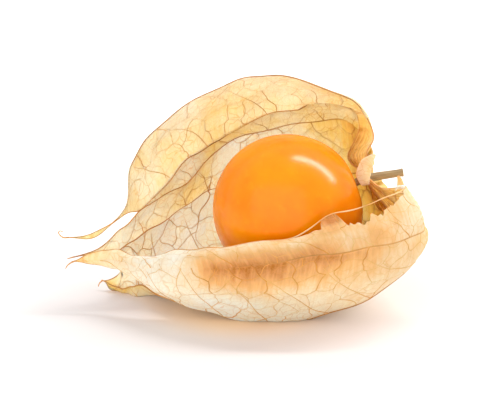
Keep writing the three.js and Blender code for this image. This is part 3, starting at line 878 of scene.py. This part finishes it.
def panel_net(number, seed):
    """The veins of a panel as flat strands on its leaf map, with half widths in mm."""
    leaf = sheets[number]["leaf"]
    length = leaf[:, 0, 1]
    left, right = leaf[:, 0, 0], leaf[:, -1, 0]

    def inside(p):
        return EDGE_MARGIN < p[1] < length[-1] - EDGE_MARGIN and (
            np.interp(p[1], length, left) < p[0] < np.interp(p[1], length, right))

    draw = random.Random(seed)
    nodes, walls = cell_walls(length[-1], draw)
    roots, links = [], {}
    for p, q in walls:
        if inside(nodes[q]) and not inside(nodes[p]):
            p, q = q, p
        if not inside(nodes[p]):
            continue
        if not inside(nodes[q]):
            low, high = 0.0, 1.0
            for _ in range(CUT_STEPS):
                half = (low + high) / 2
                if inside(nodes[p] + (nodes[q] - nodes[p]) * half):
                    low = half
                else:
                    high = half
            nodes.append(nodes[p] + (nodes[q] - nodes[p]) * low)
            q = len(nodes) - 1
            roots.append(q)
        links.setdefault(p, []).append(q)
        links.setdefault(q, []).append(p)
    order, parent = shortest_ways(nodes, links, roots, draw)
    flow = {k: 1.0 for k in order}
    for k in reversed(order):
        if k in parent:
            flow[parent[k]] += flow[k]
    thin, thick = VEIN_HALF_WIDTHS
    strands = []
    for p, others in links.items():
        for q in others:
            if p > q or p not in flow or q not in flow:
                continue
            carried = max(flow[p] if parent.get(p) == q else 0, flow[q] if parent.get(q) == p else 0)
            half = min(thick, thin + FLOW_GAIN * carried ** FLOW_POWER)
            parts = max(2, int(np.linalg.norm(nodes[q] - nodes[p]) / VEIN_STEP))
            t = np.linspace(0, 1, parts + 1)[:, None]
            line = nodes[p] * (1 - t) + nodes[q] * t
            across = np.array([nodes[q][1] - nodes[p][1], nodes[p][0] - nodes[q][0]])
            bow, wave = draw.uniform(-BOW, BOW), draw.uniform(-WAVE, WAVE)
            line = line + across * (4 * bow * t * (1 - t) + wave * np.sin(2 * np.pi * t))
            strands.append((line, [half] * (parts + 1)))
    return strands


# The side veins that leave a rib on a slant and wander across the panel: the rib's side, the first place,
# how many there are, the places from one to the next, and how far each leans towards the tip on its way.
SIDE_VEINS = [
    (1, 2.6, 4, 1.3, 0.5), (1, 2.2, 8, 0.75, 0.9), (1, 3, 5, 1.1, 0.6), (0, 2.5, 6, 0.9, 0.6),
    (0, 2.4, 6, 0.9, 0.3), (0, 2.4, 5, 0.9, 0.3), (0, 2.7, 4, 1.3, 0.6),
]
SIDE_VEIN_PARTS = 40
SIDE_VEIN_WIDTHS = (0.074, 0.045)
START_LUCK = 0.25
REACHES = (0.75, 1)
LEAN_LUCK, LEAN_POWER = (0.7, 1.3), 1.3
TURNS = (1.2, 2.4)
WANDER, WANDER_ALONG = 0.022, 1.2


def side_veins(number, seed):
    """The side veins of a panel as flat strands on its leaf map, with half widths in mm."""
    leaf, rows = sheets[number]["leaf"], sheets[number]["rows"]
    draw = random.Random(seed)
    side, first, count, apart, lean = SIDE_VEINS[number]
    t = np.linspace(0, 1, SIDE_VEIN_PARTS)
    thick, thin = SIDE_VEIN_WIDTHS
    strands = []
    for k in range(count):
        start = first + (k + draw.uniform(-START_LUCK, START_LUCK)) * apart
        reach = draw.uniform(*REACHES)
        places = start + lean * draw.uniform(*LEAN_LUCK) * t ** LEAN_POWER
        phase, turns = draw.uniform(0, 2 * math.pi), draw.uniform(*TURNS)
        wave = WANDER * np.sin(phase + 2 * math.pi * turns * t) * (1 - t) * t * 4
        across = np.clip(reach * t + wave, 0, 1)
        across = across if side == 0 else 1 - across
        places = np.clip(places + wave * WANDER_ALONG, rows[0], rows[-1])
        left, right = (np.interp(places, rows, leaf[:, end, 0]) for end in (0, -1))
        line = np.column_stack([left + (right - left) * across, np.interp(places, rows, leaf[:, 0, 1])])
        strands.append((line, thick + (thin - thick) * t))
    return strands


# How brown each panel's veins are, and how thick beside the rest. The thinnest are paler than that.
VEIN_LOOKS = [(0.5, 1.3), (0.5, 1.35), (0.5, 1.2), (0.3, 1.35), (0.3, 1.15), (0.25, 1.05), (0.2, 1.05)]
BROWN_REACH = 0.04
LEAST_BROWN = 0.15
NET_SEED, SIDE_SEED = 40, 60
vein_strands = []
for number, (shade, thickness) in enumerate(VEIN_LOOKS):
    for line, half in panel_net(number, NET_SEED + number) + side_veins(number, SIDE_SEED + number):
        flat = np.column_stack([leaf_uv(line, number), np.zeros(len(line))])
        browner = np.clip((np.array(half) - VEIN_HALF_WIDTHS[0]) / BROWN_REACH, LEAST_BROWN, 1)
        vein_strands.append((flat, np.array(half) * thickness * MM, shade * browner))
veins = grow("husk_veins", cord_tree, {
    "Sheet": thin_sheet, "Flat": True, "Set In": PAPER_WALL / 2, "Amber And Shade Share": 0.5, "Sides": 5,
    "Fibre": vein_fibre}, line_mesh("vein_lines", vein_strands))
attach(veins, "root")
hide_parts("husk")


# ---- Stem ----
# The stalk that the fruit was picked by: a thin, ribbed, dried stem that swells a little where the calyx
# grows from it, cut straight across at its free end.

# Dry bark: dull, with streaks of straw and brown along the stalk.
STREAK_SIZE, STREAK_STRETCH = 0.3846 * MM, (0.15, 1, 1)
STALK_LEAN = -0.15
stem_bark, tree, shader = new_material("dry_stem_bark")
place = add(tree, "ShaderNodeTexCoord").outputs["Object"]
grain = add(tree, "ShaderNodeMapping", {
    "Vector": place, "Rotation": (0, STALK_LEAN, 0), "Scale": STREAK_STRETCH})
streaks = noise(tree, grain, STREAK_SIZE, 3)
bark = blend(tree, streaks, linear("#6B5230"), linear("#C6AA78"))
tree.links.new(bark, shader.inputs["Base Color"])
shader.inputs["Roughness"].default_value = 0.7
roughen(tree, shader, streaks, 0.6, 0.08 * MM)

tree, given = new_rule("ribbed_stem", {
    "Geometry": "Geometry", "Ridges": "Int", "Groove Share": "Float", "Bark": "Material"})
lines = add(tree, "GeometryNodeMeshToCurve", {"Mesh": given["Geometry"]})
section = add(tree, "GeometryNodeCurveStar", {
    "Points": given["Ridges"], "Inner Radius": given["Groove Share"], "Outer Radius": 1.0})
rounded = add(tree, "GeometryNodeSubdivideCurve", {"Curve": section, "Cuts": 1})
barked = add(tree, "GeometryNodeCurveToMesh", {
    "Curve": lines, "Profile Curve": rounded, "Scale": stored(tree, "half_width"), "Fill Caps": True})
end_rule(tree, barked, given["Bark"], smooth=False)

# It starts in the berry's dip, passes through the ring and ends at the cut. The widths are half widths in mm.
STALK_SINK = 0.7 * MM
STALK_END = np.array([20.125, 1.33, 16.9]) * MM
STALK_WIDTHS = [(0, 0.4), (0.6, 0.55), (1, 0.75), (1.15, 0.55), (1.9, 0.48), (2, 0.54)]
STALK_ROWS = 25
stem_start = BERRY_CENTRE + stalk_axis * (BERRY_RADIUS - STALK_SINK)
stem_places = np.linspace(0, 2, STALK_ROWS)
stem_line = smooth_line(np.array([stem_start, STALK_RING, STALK_END]), stem_places)
stem_widths = steps(stem_places, STALK_WIDTHS) * MM
stem = grow("cut_stem", tree, {"Ridges": 9, "Groove Share": 0.84, "Bark": stem_bark},
            line_mesh("stem_line", [(stem_line, stem_widths, 0 * stem_widths)]))
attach(stem, "root")
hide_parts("stem")


# ---- Floor, light and camera ----
# A plain white table with a painted warm shadow close round the husk, one long soft lamp high on the right
# and a little behind, a low one at the back, a wide one in front, and a long lens looking slightly down.

TABLE_HALF = 0.6
floor_mesh = bpy.data.meshes.new("white_table")
corners = [(x * TABLE_HALF, y * TABLE_HALF, 0) for x, y in ((-1, -1), (1, -1), (1, 1), (-1, 1))]
floor_mesh.from_pydata(corners, [], [(0, 1, 2, 3)])
floor = bpy.data.objects.new("white_table", floor_mesh)
bpy.context.scene.collection.objects.link(floor)


def seen_directly(tree):
    """1 for what is seen straight, in a reflection or through a surface, and 0 for light that bounces."""
    ray = add(tree, "ShaderNodeLightPath").outputs
    seen = maths(tree, "MAXIMUM", ray["Is Camera Ray"], ray["Is Glossy Ray"])
    return maths(tree, "MAXIMUM", seen, ray["Is Transmission Ray"])


# Matt white board. As it is seen, it is lifted to white away from the husk and less close round it, a
# painted shade, and it warms close under it, a painted warm shadow for the light that comes through the
# paper. The light that it throws back on the husk is a plain warm white.
LIFT_AND_SHADE_REACH = 22 * MM, 45 * MM
WARM_SHADOW_REACH = 6 * MM, 14.5 * MM
floor_paint, tree, shader = new_material("matt_white_table")
shader.inputs["Roughness"].default_value = 0.9
spot = add(tree, "ShaderNodeTexCoord").outputs["Object"]
away = add(tree, "ShaderNodeVectorMath", {0: spot, 1: (0, 0, 0)}, operation="DISTANCE").outputs["Value"]
warm_shadow = spread(tree, away, WARM_SHADOW_REACH, interpolation_type="SMOOTHSTEP")
tree.links.new(blend(tree, warm_shadow, linear("#E0BE96"), linear("#D8D4D4")), shader.inputs["Base Color"])
lift = spread(tree, away, LIFT_AND_SHADE_REACH, (0.1, 0.6), interpolation_type="SMOOTHSTEP")
bright = add(tree, "ShaderNodeEmission", {"Color": linear("#FFF0E0"), "Strength": lift})
lifted = add(tree, "ShaderNodeAddShader", {0: shader, 1: bright})
bounce = add(tree, "ShaderNodeBsdfDiffuse", {"Color": linear("#F2EDE4")})
top = add(tree, "ShaderNodeMixShader", {0: seen_directly(tree), 1: bounce, 2: lifted})
tree.links.new(top.outputs["Shader"], tree.nodes["Material Output"].inputs["Surface"])
floor_mesh.materials.append(floor_paint)

# The white room around: a little less bright in the light that it gives than as it is seen.
world = bpy.data.worlds.new("white_studio")
bpy.context.scene.world = world
world.use_nodes = True
tree = world.node_tree
back = tree.nodes["Background"]
back.inputs["Color"].default_value = (1, 1, 1, 1)
tree.links.new(spread(tree, seen_directly(tree), (0, 1), (0.68, 1.0)), back.inputs["Strength"])


def soft_lamp(name, direction, long_side, distance, size, power, glint_only=False):
    """An oblong lamp that faces the berry from a direction, with its long side along another."""
    lamp = bpy.data.lights.new(name, "AREA")
    lamp.shape = "RECTANGLE"
    lamp.size, lamp.size_y = size
    lamp.energy = power
    facing = Vector(direction).normalized()
    length = Vector(long_side).cross(facing).cross(facing).normalized()
    turn = Matrix((length, facing.cross(length), facing)).transposed()
    holder = bpy.data.objects.new(name, lamp)
    holder.matrix_world = Matrix.Translation(Vector(BERRY_CENTRE) + facing * distance) @ turn.to_4x4()
    holder.visible_diffuse = not glint_only
    bpy.context.scene.collection.objects.link(holder)


# A second lamp in the strip's place shows only in gloss, so the berry shines and the paper isn't burnt out.
STRIP_PLACE = (0.531, 0.235, 0.814), (0.785, -0.056, -0.496), 0.6, (0.6, 0.07)
soft_lamp("high_strip_lamp", *STRIP_PLACE, 2.9)
soft_lamp("high_strip_glint", *STRIP_PLACE, 2.1, glint_only=True)
soft_lamp("back_lamp", (-0.25, 0.95, 0.14), (1, 0, 0), 0.7, (0.8, 0.3), 2.0)
soft_lamp("front_lamp", (-0.3, -0.87, 0.4), (1, 0, 0), 1.2, (2.2, 1.4), 11.4)

ELEVATION = math.radians(18)
CAMERA_DISTANCE = 0.256
AIM_ACROSS, AIM_UP = -5.25 * MM, 0.8125 * MM
camera_up = Vector((0, math.sin(ELEVATION), math.cos(ELEVATION)))
toward_camera = Vector((0, -math.cos(ELEVATION), math.sin(ELEVATION)))
aim = Vector(BERRY_CENTRE) + Vector((AIM_ACROSS, 0, 0)) + camera_up * AIM_UP
lens = bpy.data.cameras.new("long_lens")
lens.lens = 150
lens.clip_start = 0.01
camera = bpy.data.objects.new("long_lens", lens)
camera.location = aim + toward_camera * CAMERA_DISTANCE
camera.rotation_euler = (math.pi / 2 - ELEVATION, 0, 0)
bpy.context.scene.collection.objects.link(camera)
bpy.context.scene.camera = camera
bpy.context.scene.view_settings.view_transform = "Standard"
